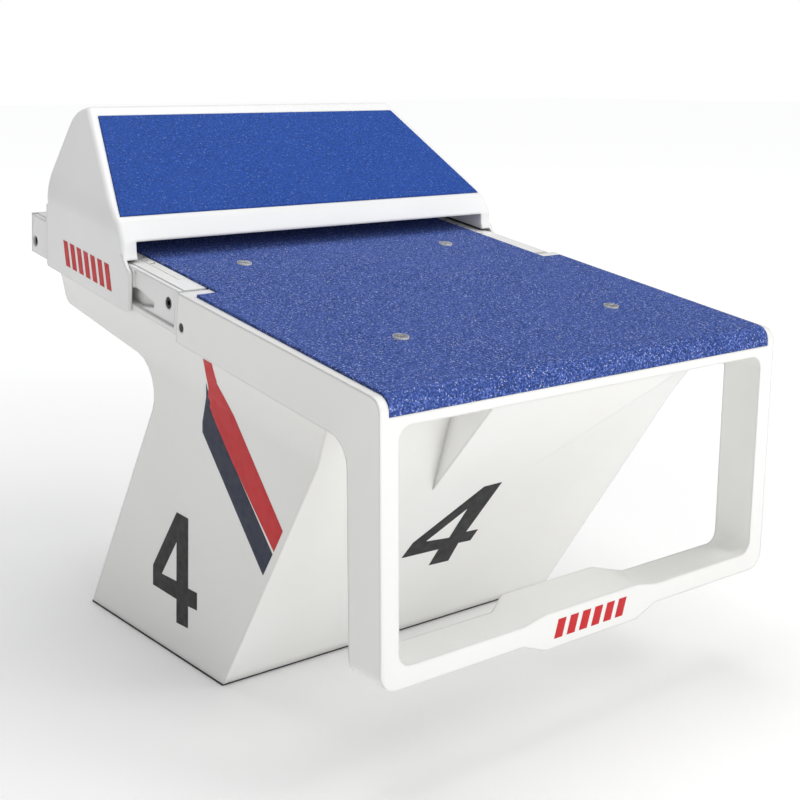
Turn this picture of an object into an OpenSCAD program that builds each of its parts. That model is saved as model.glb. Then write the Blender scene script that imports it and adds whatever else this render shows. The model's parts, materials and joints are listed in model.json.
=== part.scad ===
// Swimming starting block: a sloped non-slip platform, a backstroke grab frame and a kick plate.
// Millimetres. X to the swimmer's right, -Y towards the water, Z up.
// The origin is on the deck under the middle of the base.

/* [Overall] */
// Overall width across the platform
overall_w = 560; // [500:5:680]
// Height of the platform's lip above the base's front edge
deck_h = 450; // [430:5:520]
// Slope of the platform, down towards the water
deck_tilt = 8.5; // [6:0.5:10]
// How far the front face stands ahead of the base
front_reach = 332; // [290:2:360]

/* [Pedestal] */
// Width of the base on the deck
base_w = 506; // [450:2:610]
// Depth of the base on the deck
base_d = 330; // [280:2:400]
// Forward lean of the pedestal from upright
lean = 33.7; // [28:0.1:36]
// How much wider each side of the pedestal is at the top
side_flare = 8; // [4:1:12]
// How far the pedestal's sides stay inside the platform's where they meet
side_step = 7.5; // [7:0.5:12]
// How far below the platform the sides start to curve out to meet it
side_curve = 140; // [100:5:160]
// Wall of the glass-fibre mouldings
shell_t = 6; // [5:0.5:8]
// Distance along the platform from the base's front edge to the pedestal head's rear end
head_s = 328; // [310:1:350]
// Depth of the pedestal head's rear end
head_t = 48; // [40:1:60]
// Angle of the head's underside to the platform
head_rise = 3; // [1:0.5:6]
// Radius where the head's underside runs into the pedestal's back
head_fillet = 42; // [20:1:60]
// Thickness of the rubber foot seal
foot_seal_t = 3; // [2:0.5:5]

/* [Gusset] */
// Height of the gusset's lower edge
gusset_z = 232; // [200:2:260]
// Half width of the gusset at its lower edge
gusset_low_x = 72; // [60:1:90]
// Half width of the gusset at the header
gusset_top_x = 136; // [120:1:150]
// How far the gusset's top edge stays behind the front face
gusset_back = 9; // [6:1:20]

/* [Platform] */
// Depth of the platform's side skirts
skirt_h = 55; // [50:1:65]
// Width of the lip beside the tread
lip_w = 10.5; // [8:0.5:16]
// Distance from the base's front edge to the platform's rear shoulders
shoulder_s = 21; // [20:1:30]
// Distance from the base's front edge to the platform's rear end
deck_end_s = 398; // [392:1:420]
// Thickness of the tread board
tread_t = 10; // [8:1:12]
// Height of the tread's nose
nose_h = 20; // [17:1:25]
// Depth of the tread's nose
nose_d = 24; // [20:1:40]
// How far the tread stands above the lip
tread_proud = 3; // [2:0.5:5]
// Radius of the tread's nose
nose_r = 15; // [8:1:16]
// Gap round the tread
tread_gap = 0.5; // [0.3:0.1:1]
// Place of the step in the tread's sides
tread_step_s = 0; // [-10:1:10]
// Distance from the base's front edge to the tread's rear end
tread_end_s = 386; // [360:1:390]
// Distance between the tread screws, side to side
tread_screw_w = 305; // [250:5:350]
// Distance between the tread screws, front to back
tread_screw_l = 295; // [250:5:310]
// Place of the rear tread screws
tread_screw_s = 92; // [80:1:110]

/* [Grab frame] */
// Width of each leg, seen from the water
leg_w = 22; // [18:1:30]
// Depth of the legs and the grab bar
leg_d = 50; // [40:1:60]
// Height of the grab bar's underside
bar_z = 119; // [100:1:140]
// Height of the grab bar
bar_h = 22; // [18:1:28]
// Height of the header's underside
header_z = 373; // [360:1:385]
// Outer corner radius of the frame
frame_r = 20; // [10:1:28]
// Corner radius of the frame's opening
window_r = 15; // [8:1:24]
// Half width of the thick middle grip
grip_x = 68; // [50:1:90]
// Length of each tapered shoulder of the grip
grip_taper = 30; // [20:1:40]
// How far the grip stands above the bar
grip_up = 6; // [3:1:10]
// How far the grip hangs below the bar
grip_down = 12; // [6:1:16]
// How far the grip reaches behind the bar
grip_back = 18; // [10:1:25]

/* [Rails] */
// Width of each rail
rail_w = 34; // [30:1:40]
// Height of each rail
rail_h = 50; // [46:1:54]
// Front end of the rails
rail_s0 = 27; // [27:1:40]
// Rear end of the rails
rail_s1 = 402; // [396:1:424]
// Wall of the rail's hollow section
rail_t = 5; // [4:0.5:6]
// Depth of the pocket in the rail's front side
pocket_d = 2.5; // [1:0.5:3]
// Depth of the guide groove in the rail's side
groove_d = 9; // [7:0.5:10]
// Distance from the rail's top to the groove
groove_top = 24; // [22:1:26]
// Height of the groove
groove_h = 19; // [15:1:21]
// Narrow front end of the groove
groove_s0 = 85; // [80:1:95]
// Where the groove reaches its full height
groove_s1 = 118; // [110:1:124]
// Rear end of the groove
groove_s2 = 343; // [330:1:343]

/* [Kick plate] */
// Angle of the kick plate's face to the platform
kick_angle = 30; // [28:0.5:32]
// Place of the pad's lower edge along the platform
pad_s = 172; // [165:1:180]
// Height of the pad's lower edge above the lip
pad_n = 47; // [42:1:52]
// Length of the pad up the face
pad_l = 174; // [150:1:178]
// Half width of the pad at its lower edge
pad_low_x = 271; // [240:1:272]
// Half width of the pad at its upper edge
pad_top_x = 225; // [200:1:226]
// Thickness of the pad
pad_t = 7.5; // [6:0.5:9]
// How far the pad stands above the face
pad_proud = 1.5; // [0.5:0.5:3]
// Place of the ridge along the platform
ridge_s = 339; // [330:1:344]
// Place of the upper rear corner along the platform
kick_rear_s = 368; // [362:1:372]
// Height of the upper rear corner above the lip
kick_rear_n = 132; // [126:1:138]
// Place of the front bar's lower edge along the platform
kick_front_s = 150; // [145:1:156]
// Height of the bar's lower edge above the lip
kick_gap_n = 22.5; // [20:0.5:26]
// Rear end of the cheeks at the bar's height
kick_back_s = 348; // [346:1:352]
// Wall of the kick plate's moulding
kick_t = 6; // [5:0.5:7]
// Thickness of the face that carries the pad
kick_face_t = 12; // [10:0.5:14]
// Height above the lip where the cheeks start to lean in
taper_n = 45; // [40:1:50]
// How far each cheek leans in at the ridge
taper_x = 50; // [40:1:56]
// Radius with which each cheek bends into its lean
cheek_bend_r = 88; // [60:2:88]
// Thickness of the kick plate's skirts
skirt_t = 4.5; // [4:0.5:6]
// Width of each foot over its rail
foot_w = 18.5; // [16:0.5:20]
// Front end of the skirts
skirt_s0 = 130; // [126:1:134]
// Rear end of the skirts
skirt_s1 = 345; // [340:1:350]
// How far the kick plate's skirts reach below the rails
skirt_drop = 4; // [0:0.5:5]
// Gap between a skirt and its rail
skirt_gap = 0.5; // [0.4:0.1:1]
// How far the kick plate slides towards the water
travel_front = 84; // [70:1:84]
// How far the kick plate slides back
travel_rear = 56; // [40:1:56]

/* [Clamp] */
// Place of the release bar's pivot along the platform
pivot_s = 285; // [280:1:290]
// Height of the pivot above the lip
pivot_n = 41; // [38:1:42]
// Distance from the pivot to the clamp plunger
clamp_arm = 25; // [22:1:26]
// Diameter of the clamp plunger and the pivot pins
rod_d = 8; // [6:1:8]
// Length of a clamp pad
clamp_l = 32; // [28:1:34]
// Running gap under the pads and glides
run_gap = 0.3; // [0.2:0.1:0.4]

/* [Fixings] */
// Distance between the deck anchors, side to side
anchor_w = 200; // [160:5:210]
// Distance between the deck anchors, front to back
anchor_l = 200; // [160:5:220]
// Diameter of the anchor holes
anchor_d = 14; // [12:1:18]
// Thickness of the ground plate
plate_t = 12; // [10:1:20]
// Diameter of the structural screws
screw_d = 8; // [6:1:10]

/* [Hidden] */
$fn = 48;

white = [0.93, 0.93, 0.91];
blue = [0.13, 0.27, 0.62];
steel = [0.72, 0.73, 0.75];
alloy = [0.80, 0.81, 0.83];
dark = [0.12, 0.12, 0.13];

fit = 0.05;
big = 2000;
x_out = overall_w / 2;
rail_x1 = x_out - skirt_t - skirt_gap;
rail_x0 = rail_x1 - rail_w;
tread_x = x_out - lip_w - tread_gap;
tread_rear_x = rail_x0 - tread_gap;
tread_n0 = tread_proud - tread_t;
floor_n0 = tread_n0 - shell_t;
nose_n0 = tread_proud - nose_h;
slope = tan(lean);
web_h = rail_h;
screw_r = screw_d / 2;
head_r = screw_d * 0.8;
head_h = screw_d * 0.75;
rod_r = rod_d / 2;
ridge_n = pad_n + (ridge_s - pad_s) * tan(kick_angle);

// Point at s along the platform and n above its lip, as [y, z] from the base's front edge
function pt(s, n) = [
    s * cos(deck_tilt) - n * sin(deck_tilt),
    deck_h + s * sin(deck_tilt) + n * cos(deck_tilt)
];
// Height of the plane n above the lip, at y
function plane_z(y, n) = deck_h + y * tan(deck_tilt) + n / cos(deck_tilt);
// Where a line leaning forward from y0 on the deck meets the plane n above the lip
function lean_to(y0, n) = let (z = plane_z(y0, n) / (1 + slope * tan(deck_tilt))) [y0 - slope * z, z];
function unit(v) = v / norm(v);
function cross2(a, b) = a[0] * b[1] - a[1] * b[0];
// Where the line through a along u meets the line through b along v
function meet(a, u, b, v) = a + u * cross2(b - a, v) / cross2(u, v);
// Arc of radius r that rounds the corner p between a and b
function corner(a, p, b, r, steps) =
    let (
        u = unit(a - p), v = unit(b - p), half = acos(u * v) / 2,
        c = p + unit(u + v) * r / sin(half),
        from = p + u * r / tan(half) - c, to = p + v * r / tan(half) - c,
        a0 = atan2(from[1], from[0]),
        turn = atan2(cross2(from, to), from * to)
    )
    [for (i = [0:steps]) c + r * [cos(a0 + turn * i / steps), sin(a0 + turn * i / steps)]];
// Outline with each corner rounded to its own radius, where 0 is sharp
function rounded(points, radii, steps = 6) = [
    for (i = [0:len(points) - 1])
        let (a = points[(i + len(points) - 1) % len(points)], b = points[(i + 1) % len(points)])
        each (radii[i] == 0 ? [points[i]] : corner(a, points[i], b, radii[i], steps))
];
// Outline drawn in by its own distance on each side, for points that run anticlockwise
function inset(points, dist) = [
    for (i = [0:len(points) - 1])
        let (
            h = (i + len(points) - 1) % len(points), j = (i + 1) % len(points),
            u = unit(points[i] - points[h]), v = unit(points[j] - points[i]),
            a = points[i] + dist[h] * [-u[1], u[0]], b = points[i] + dist[i] * [-v[1], v[0]]
        )
        meet(a, u, b, v)
];

// Moves a shape drawn from the base's front edge to the model's origin
module placed() {
    translate([0, -base_d / 2, 0]) children();
}
// Frame whose Y runs up the platform and whose Z stands on its lip
module deck_frame() {
    placed() translate([0, 0, deck_h]) rotate([deck_tilt, 0, 0]) children();
}
// Both sides of a shape that is drawn on the right
module both() {
    children();
    mirror([1, 0, 0]) children();
}
// Outline in Y and Z, drawn out along X
module slab(x0, x1, points) {
    translate([x0, 0, 0]) rotate([90, 0, 90]) linear_extrude(x1 - x0) polygon(points);
}
module block(x0, x1, y0, y1, z0, z1) {
    translate([x0, y0, z0]) cube([x1 - x0, y1 - y0, z1 - z0]);
}
// Rod along X
module rod_x(x0, x1, y, z, r) {
    translate([x0, y, z]) rotate([0, 90, 0]) cylinder(r = r, h = x1 - x0);
}
// Rectangle with round corners, centred on X
module round_rect(half, z0, z1, r) {
    translate([-half, z0 + r]) square([2 * half, z1 - z0 - 2 * r]);
    translate([-half + r, z0]) square([2 * half - 2 * r, z1 - z0]);
    for (x = [-half + r, half - r], z = [z0 + r, z1 - r]) translate([x, z]) circle(r = r);
}
// Flat outline in X and Z, drawn out from y0 to y1
module upright(y0, y1) {
    translate([0, y1, 0]) rotate([90, 0, 0]) linear_extrude(y1 - y0) children();
}

// ---- pedestal ----
ped_n = -web_h;
head_low = pt(head_s, ped_n - head_t);
head_top = pt(head_s, ped_n);
head_dir = [cos(deck_tilt + head_rise), sin(deck_tilt + head_rise)];
throat = meet([base_d, 0], [-slope, 1], head_low, head_dir);
pedestal_points = [[0, 0], [base_d, 0], throat, head_low, head_top, lean_to(0, ped_n)];
pedestal_inner = inset(pedestal_points, [-1, shell_t, shell_t, shell_t, shell_t, shell_t]);
gusset_y = -slope * gusset_z;
gusset_z1 = header_z - 1;
seal_inset = 8;

curve_w = 20;
function curve_x(i, t) = x_out - side_step - t - curve_w * (1 - pow(i / 6, 2));
// Space between the pedestal's two flared sides, drawn in by t
module between_sides(t) {
    difference() {
        block(-big, big, -big, big, -10, big);
        both() translate([base_w / 2 - t, 0, 0]) rotate([0, atan(side_flare / deck_h), 0])
            block(0, big, -big, big, -big, big);
    }
    translate([0, 0, deck_h]) rotate([deck_tilt + 90, 0, 0]) linear_extrude(2 * big, center = true)
        polygon([
        for (i = [0:7]) [curve_x(i, t), ped_n + side_curve * (i / 6 - 1)],
        for (i = [7:-1:0]) [-curve_x(i, t), ped_n + side_curve * (i / 6 - 1)]
    ]);
}
module pedestal_solid(t, points, radii) {
    intersection() {
        slab(-big / 2, big / 2, rounded(points, radii));
        between_sides(t);
    }
}
// Forward gusset under the platform's front, drawn in by t
module gusset(t, back) {
    y1 = -front_reach + gusset_back;
    low = [gusset_low_x - t, gusset_y + back, gusset_z + t];
    top = [gusset_top_x - t, y1 + t * 1.3, gusset_z1];
    rear = [gusset_top_x * 0.86 - t, -slope * gusset_z1 + back + 1, gusset_z1];
    points = [for (p = [low, top, rear], side = [-1, 1]) [side * p[0], p[1], p[2]]];
    polyhedron(points, [[0, 2, 3, 1], [2, 4, 5, 3], [4, 0, 1, 5], [0, 4, 2], [1, 3, 5]]);
}
// Frame on the pedestal's back, with Z up the slope and Y straight out
module back_frame() {
    placed() translate([0, base_d, 0]) rotate([lean, 0, 0]) children();
}
hatch_x = 120;
hatch_z0 = 60;
hatch_z1 = 220;
hatch_lap = 18;
hatch_seal_t = 2;
hatch_t = 4;
hatch_screw_r = 2.5;
module at_hatch_screws() {
    for (x = [-1, 0, 1], z = [hatch_z0 - hatch_lap / 2, hatch_z1 + hatch_lap / 2])
        translate([x * hatch_x, 0, z]) rotate([-90, 0, 0]) children();
}
flange_w = 46;
foot_bolt_x = base_w / 2 - shell_t - 26;
module at_foot_bolts() {
    placed() for (side = [-1, 1], y = [0.18, 0.5, 0.82]) translate([side * foot_bolt_x, y * base_d,
        0]) children();
}
frame_bolt_x = 150;
frame_bolt_s = [-165, 0.5, 150, 300];
module at_frame_bolts() {
    deck_frame() for (side = [-1, 1], s = frame_bolt_s) translate([side * frame_bolt_x, s, 0]) children();
}

module ground_plate() {
    color(steel) difference() {
        placed() block(-base_w / 2 + 24, base_w / 2 - 24, 24, base_d - 24, 0, plate_t);
        for (x = [-1, 1], y = [-1, 1]) translate([x * anchor_w / 2, y * anchor_l / 2, -1])
            cylinder(r = anchor_d / 2, h = plate_t + 2);
        at_foot_bolts() translate([0, 0, -1]) cylinder(r = screw_r + fit, h = plate_t + 2);
    }
}
module foot_seal() {
    color(dark) placed() difference() {
        block(-base_w / 2, base_w / 2, 0, base_d, 0, foot_seal_t);
        block(-base_w / 2 + seal_inset, base_w / 2 - seal_inset, seal_inset, base_d - seal_inset, -1,
            foot_seal_t + 1);
    }
}
module pedestal_shell() {
    color(white) difference() {
        placed() union() {
            difference() {
                union() {
                    pedestal_solid(0, pedestal_points, [0, 0, head_fillet, 10, 0, 0]);
                    gusset(0, 3);
                }
                pedestal_solid(shell_t, pedestal_inner, [0, 0, head_fillet + shell_t, 6, 0, 0]);
                gusset(shell_t, shell_t + 6);
                block(-big, big, -big, big, -20, foot_seal_t);
            }
            difference() {
                intersection() {
                    pedestal_solid(shell_t - 1, pedestal_inner, [0, 0, 0, 0, 0, 0]);
                    block(-big, big, -big, big, plate_t, plate_t + shell_t);
                }
                block(-base_w / 2 + flange_w, base_w / 2 - flange_w, flange_w, base_d - flange_w, 0, big);
            }
        }
        back_frame() {
            upright(-shell_t * 2, shell_t) round_rect(hatch_x - hatch_lap, hatch_z0, hatch_z1, 12);
            at_hatch_screws() translate([0, 0, -shell_t * 2]) cylinder(r = hatch_screw_r + fit,
                h = shell_t * 3);
        }
        at_foot_bolts() translate([0, 0, plate_t - 1]) cylinder(r = screw_r + 0.5, h = shell_t + 2);
        at_frame_bolts() translate([0, 0, ped_n - shell_t * 1.5]) cylinder(r = screw_r + 0.5,
            h = shell_t * 2);
    }
}
post_w = 40;
post_d = 70;
post_t = 4;
bar_t = 8;
bar_n = ped_n - shell_t;
module frame_posts() {
    y0 = base_d / 2 - post_d / 2;
    points = [[y0 - slope * plate_t, plate_t], [y0 + post_d - slope * plate_t, plate_t],
        lean_to(y0 + post_d, bar_n - bar_t), lean_to(y0, bar_n - bar_t)];
    color(steel) placed() both() difference() {
        slab(frame_bolt_x - post_w / 2, frame_bolt_x + post_w / 2, points);
        slab(frame_bolt_x - post_w / 2 + post_t, frame_bolt_x + post_w / 2 - post_t,
            inset(points, [-1, post_t, -1, post_t]));
    }
}
module head_bars() {
    color(steel) difference() {
        deck_frame() both() block(frame_bolt_x - post_w / 2, frame_bolt_x + post_w / 2,
            frame_bolt_s[0] - 20, frame_bolt_s[3] + 8, bar_n - bar_t, bar_n);
        at_frame_bolts() translate([0, 0, bar_n - bar_t - 1]) cylinder(r = screw_r + 0.5, h = bar_t + 2);
    }
}
cross_w = 34;
cross_t = 3;
cross_n0 = ped_n;
wide_cross_x = x_out - shell_t - 1;
shoulder_screw_n = -36;
shoulder_screw_s = 11;
shoulder_screw_r = 3;
shoulder_head_r = 4.8;
module crossmember(s, half) {
    difference() {
        block(-half, half, s - cross_w / 2, s + cross_w / 2, cross_n0, floor_n0);
        block(-half - 1, half + 1, s - cross_w / 2 + cross_t, s + cross_w / 2 - cross_t,
            cross_n0 + cross_t, floor_n0 - cross_t);
    }
}
module deck_crossmembers() {
    color(alloy) difference() {
        deck_frame() {
            crossmember(frame_bolt_s[0], wide_cross_x);
            difference() {
                crossmember(frame_bolt_s[1], wide_cross_x);
                both() rod_x(wide_cross_x - 12, wide_cross_x + 1, shoulder_screw_s, shoulder_screw_n,
                    shoulder_screw_r + fit);
            }
            crossmember(frame_bolt_s[2], rail_x0 - shell_t - 1);
            crossmember(frame_bolt_s[3], rail_x0 - shell_t - 1);
            both() difference() {
                block(wide_cross_x - 12, wide_cross_x, frame_bolt_s[1] - cross_w / 2 + cross_t,
                    frame_bolt_s[1] + cross_w / 2 - cross_t, cross_n0 + cross_t, floor_n0 - cross_t);
                rod_x(wide_cross_x - 13, wide_cross_x + 1, shoulder_screw_s, shoulder_screw_n,
                    shoulder_screw_r + fit);
            }
        }
        at_frame_bolts() translate([0, 0, cross_n0 - 1]) cylinder(r = screw_r + fit, h = cross_t + 2);
    }
}
module frame_bolts() {
    color(steel) at_frame_bolts() {
        translate([0, 0, bar_n - bar_t - head_h]) cylinder(r = head_r, h = head_h, $fn = 6);
        translate([0, 0, bar_n - bar_t - head_h]) cylinder(r = screw_r, h = head_h + bar_t + shell_t + 16);
    }
}
module foot_bolts() {
    color(steel) at_foot_bolts() {
        translate([0, 0, plate_t + shell_t]) cylinder(r = head_r, h = head_h, $fn = 6);
        translate([0, 0, 1]) cylinder(r = screw_r, h = plate_t + shell_t);
    }
}
module hatch_seal() {
    color(dark) back_frame() difference() {
        upright(0, hatch_seal_t) round_rect(hatch_x + hatch_lap, hatch_z0 - hatch_lap,
            hatch_z1 + hatch_lap, 16);
        upright(-1, hatch_seal_t + 1) round_rect(hatch_x - hatch_lap, hatch_z0, hatch_z1, 12);
        at_hatch_screws() translate([0, 0, -1]) cylinder(r = hatch_screw_r + fit, h = 5);
    }
}
module hatch_cover() {
    color(white) back_frame() difference() {
        upright(hatch_seal_t, hatch_seal_t + hatch_t)
            round_rect(hatch_x + hatch_lap, hatch_z0 - hatch_lap, hatch_z1 + hatch_lap, 16);
        at_hatch_screws() translate([0, 0, hatch_seal_t - 1]) cylinder(r = hatch_screw_r + fit, h = 10);
    }
}
module hatch_screws() {
    color(steel) back_frame() at_hatch_screws() {
        translate([0, 0, -14]) cylinder(r = hatch_screw_r, h = 14 + hatch_seal_t + hatch_t);
        translate([0, 0, hatch_seal_t + hatch_t]) cylinder(r1 = 5, r2 = 4, h = 2.5);
    }
}

// ---- platform ----
front_y = -front_reach;
leg_y = front_y + leg_d;
skirt_n = -skirt_h;
side_points = [
    [front_y, bar_z - grip_down - 1], [leg_y, bar_z - grip_down - 1], [leg_y, plane_z(leg_y, skirt_n)],
    pt(shoulder_s, skirt_n), pt(shoulder_s, 0), [front_y, plane_z(front_y, 0)]
];
nose_y = front_y + nose_d;
tread_points = [
    [front_y, plane_z(front_y, nose_n0 + fit)], [nose_y, plane_z(nose_y, nose_n0 + fit)],
    [nose_y, plane_z(nose_y, tread_n0 + fit)], pt(tread_end_s, tread_n0 + fit), pt(tread_end_s,
        tread_proud),
    [front_y, plane_z(front_y, tread_proud)]
];
module frame_outline() {
    difference() {
        union() {
            translate([-x_out, bar_z + frame_r]) square([2 * x_out, big]);
            round_rect(x_out, bar_z, bar_z + 3 * frame_r, frame_r);
        }
        round_rect(x_out - leg_w, bar_z + bar_h, header_z, window_r);
    }
}
module grip() {
    x1 = grip_x + grip_taper;
    y1 = leg_y + grip_back;
    intersection() {
        upright(front_y, y1) polygon([
            [-x1, bar_z], [-grip_x, bar_z - grip_down], [grip_x, bar_z - grip_down], [x1, bar_z],
            [x1, bar_z + bar_h], [grip_x, bar_z + bar_h + grip_up], [-grip_x, bar_z + bar_h + grip_up],
            [-x1, bar_z + bar_h]
        ]);
        linear_extrude(header_z) polygon([
            [-x1, front_y], [x1, front_y], [x1, leg_y], [grip_x, y1], [-grip_x, y1], [-x1, leg_y]
        ]);
    }
}
module at_tread_screws() {
    deck_frame() for (side = [-1, 1], s = [tread_screw_s, tread_screw_s - tread_screw_l])
        translate([side * tread_screw_w / 2, s, 0]) children();
}
rail_screw_at = [[53, -21], [391, -34]];
module at_rail_screws() {
    deck_frame() both() for (p = rail_screw_at) translate([0, p[0], p[1]]) rotate([0, 90, 0]) children();
}
front_s = -2 * front_reach;
above_n = 40;
apron_s = (lean_to(0, ped_n) - [0, deck_h]) * [cos(deck_tilt), sin(deck_tilt)] + 10;
end_plate_x = rail_x0 - shell_t - 12;
// Space that the tread board fills in the top of the platform
module tread_recess() {
    placed() slab(-tread_x - tread_gap, tread_x + tread_gap, [
        [front_y - 1, plane_z(front_y - 1, nose_n0)], [nose_y + tread_gap, plane_z(nose_y + tread_gap,
            nose_n0)],
        [nose_y + tread_gap, plane_z(nose_y + tread_gap, tread_n0)], pt(tread_step_s + tread_gap, tread_n0),
        pt(tread_step_s + tread_gap, above_n), [front_y - 1, plane_z(front_y - 1, above_n)]
    ]);
    deck_frame() block(-rail_x0, rail_x0, tread_step_s, shoulder_s + 1, tread_n0, above_n);
}
module platform_shell() {
    color(white) difference() {
        union() {
            intersection() {
                placed() slab(-x_out, x_out, rounded(side_points, [0, 0, 30, 0, 0, nose_r]));
                union() {
                    placed() {
                        upright(front_y - 1, leg_y) frame_outline();
                        both() block(x_out - shell_t, x_out + 1, leg_y - 1, big, header_z - 80, big);
                    }
                    deck_frame() {
                        block(-x_out - 1, x_out + 1, front_s, shoulder_s + 1, floor_n0, above_n);
                        block(-x_out - 1, x_out + 1, apron_s, apron_s + shell_t, ped_n, floor_n0 + 1);
                        both() block(rail_x0 - shell_t / 2, x_out - 1, shoulder_s - shell_t / 2,
                            shoulder_s + 1,
                            ped_n, floor_n0 + 1);
                    }
                }
            }
            placed() grip();
            deck_frame() {
                block(-rail_x0 + 1, rail_x0 - 1, shoulder_s - 1, deck_end_s, floor_n0, tread_n0);
                both() block(rail_x0 - shell_t, rail_x0, shoulder_s - 1, deck_end_s, -web_h, tread_n0);
                block(-end_plate_x, end_plate_x, deck_end_s - shell_t, deck_end_s, -web_h, tread_n0);
            }
        }
        tread_recess();
        at_tread_screws() translate([0, 0, floor_n0 - 1]) cylinder(r = screw_r + 0.5, h = shell_t + 2);
        at_rail_screws() translate([0, 0, rail_x0 - shell_t - 1]) cylinder(r = screw_r + fit,
            h = shell_t + 2);
        deck_frame() both() {
            rod_x(x_out - shell_t - 1, x_out + 1, shoulder_screw_s, shoulder_screw_n,
                shoulder_screw_r + fit);
            rod_x(x_out - 3, x_out + 1, shoulder_screw_s, shoulder_screw_n, shoulder_head_r + 0.3);
        }
    }
}
module shoulder_screws() {
    color(steel) deck_frame() both() {
        rod_x(x_out - 3, x_out - 0.5, shoulder_screw_s, shoulder_screw_n, shoulder_head_r);
        rod_x(x_out - 18, x_out - 2, shoulder_screw_s, shoulder_screw_n, shoulder_screw_r);
    }
}
washer_r = 8.5;
washer_h = 1.5;
cone_h = 5;
module tread_board() {
    color(blue) difference() {
        placed() slab(-tread_x, tread_x, rounded(tread_points, [0, 0, 0, 0, 0, nose_r]));
        deck_frame() both() block(tread_rear_x, big, tread_step_s, big, -100, 100);
        at_tread_screws() {
            translate([0, 0, tread_n0 - 1]) cylinder(r = screw_r + 0.5, h = tread_t + 2);
            translate([0, 0, tread_proud - cone_h - 0.5]) cylinder(r = washer_r + 0.2, h = cone_h + 1);
        }
    }
}
module tread_washers() {
    color(alloy) at_tread_screws() difference() {
        translate([0, 0, tread_proud - cone_h - 0.5]) cylinder(r = washer_r, h = cone_h + 0.5 + washer_h);
        translate([0, 0, tread_proud - cone_h - 1]) cylinder(r = screw_r + 0.3, h = cone_h + 4);
        translate([0, 0, tread_proud - cone_h + washer_h])
            cylinder(r1 = screw_r + 0.1, r2 = screw_r * 2 + 0.2, h = cone_h + 0.1);
    }
}
tread_nut_t = 10;
module tread_screws() {
    color(steel) at_tread_screws() difference() {
        union() {
            translate([0, 0, floor_n0 - tread_nut_t])
                cylinder(r = screw_r, h = tread_proud - floor_n0 + tread_nut_t - 1);
            translate([0, 0, tread_proud - cone_h + washer_h]) cylinder(r1 = screw_r, r2 = screw_r * 2,
                h = cone_h);
        }
        translate([0, 0, tread_proud + washer_h - 2.5]) cylinder(r = 2.9, h = 3, $fn = 6);
    }
}
module tread_nuts() {
    color(steel) at_tread_screws() difference() {
        translate([0, 0, floor_n0 - tread_nut_t]) cylinder(r = 9, h = tread_nut_t, $fn = 6);
        translate([0, 0, floor_n0 - tread_nut_t - 1]) cylinder(r = screw_r + fit, h = tread_nut_t + 2);
    }
}

// ---- rails ----
cap_t = 3;
rebate_w = 6;
rebate_h = 1;
module rail() {
    color(white) difference() {
        deck_frame() difference() {
            block(rail_x0, rail_x1, rail_s0, rail_s1 - cap_t, -rail_h, 0);
            block(rail_x0 + rail_t, rail_x1 - groove_d - rail_t, rail_s0 - 1, rail_s1 + 1,
                -rail_h + rail_t, -rail_t);
            translate([rail_x1 - groove_d, 0, 0]) rotate([90, 0, 90]) linear_extrude(groove_d + 1) polygon([
                [groove_s0, -groove_top - groove_h * 0.3], [groove_s0, -groove_top - groove_h * 0.6],
                [groove_s1, -groove_top - groove_h], [groove_s2, -groove_top - groove_h],
                [groove_s2, -groove_top], [groove_s1, -groove_top]
            ]);
            block(rail_x1 - pocket_d, rail_x1 + 1, rail_s0 + 8, groove_s1 + 10, -rail_h + 6.5, -4);
            block(rail_x1 - rebate_w, rail_x1 + 1, rail_s0 - 1, rail_s1 + 1, -rebate_h, 1);
        }
        at_rail_screws() {
            translate([0, 0, rail_x0 - 1]) cylinder(r = screw_r + 0.5, h = rail_w + 2);
            translate([0, 0, rail_x1 - pocket_d - head_h]) cylinder(r = head_r + 0.3,
                h = pocket_d + head_h + 1);
        }
    }
}
module rail_right() {
    rail();
}
module rail_left() {
    mirror([1, 0, 0]) rail();
}
module rail_end_caps() {
    color(white) deck_frame() both() {
        block(rail_x0, rail_x1, rail_s1 - cap_t, rail_s1, -rail_h, 0);
        block(rail_x0 + rail_t + 0.3, rail_x1 - groove_d - rail_t - 0.3, rail_s1 - cap_t - 0.1, rail_s1,
            -rail_h + rail_t + 0.3, -rail_h + rail_t + 4);
    }
}
module rail_screws() {
    color(steel) at_rail_screws() difference() {
        union() {
            translate([0, 0, rail_x0 - shell_t - 9]) cylinder(r = screw_r,
                h = rail_w + shell_t + 9 - pocket_d - 2);
            translate([0, 0, rail_x1 - pocket_d - head_h]) cylinder(r = head_r, h = head_h - 0.5);
        }
        translate([0, 0, rail_x1 - pocket_d - 4]) cylinder(r = 3.4, h = 5, $fn = 6);
    }
}
module rail_nuts() {
    color(steel) at_rail_screws() difference() {
        translate([0, 0, rail_x0 - shell_t - 7]) cylinder(r = 7.4, h = 7, $fn = 6);
        translate([0, 0, rail_x0 - shell_t - 8]) cylinder(r = screw_r + fit, h = 9);
    }
}
scale_x0 = rail_x0 + 1.5;
scale_w = 11;
scale_s0 = 66;
scale_s1 = 226;
module position_scales() {
    color(alloy) deck_frame() both() block(scale_x0, scale_x0 + scale_w, scale_s0, scale_s1, 0, 0.6);
}

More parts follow.
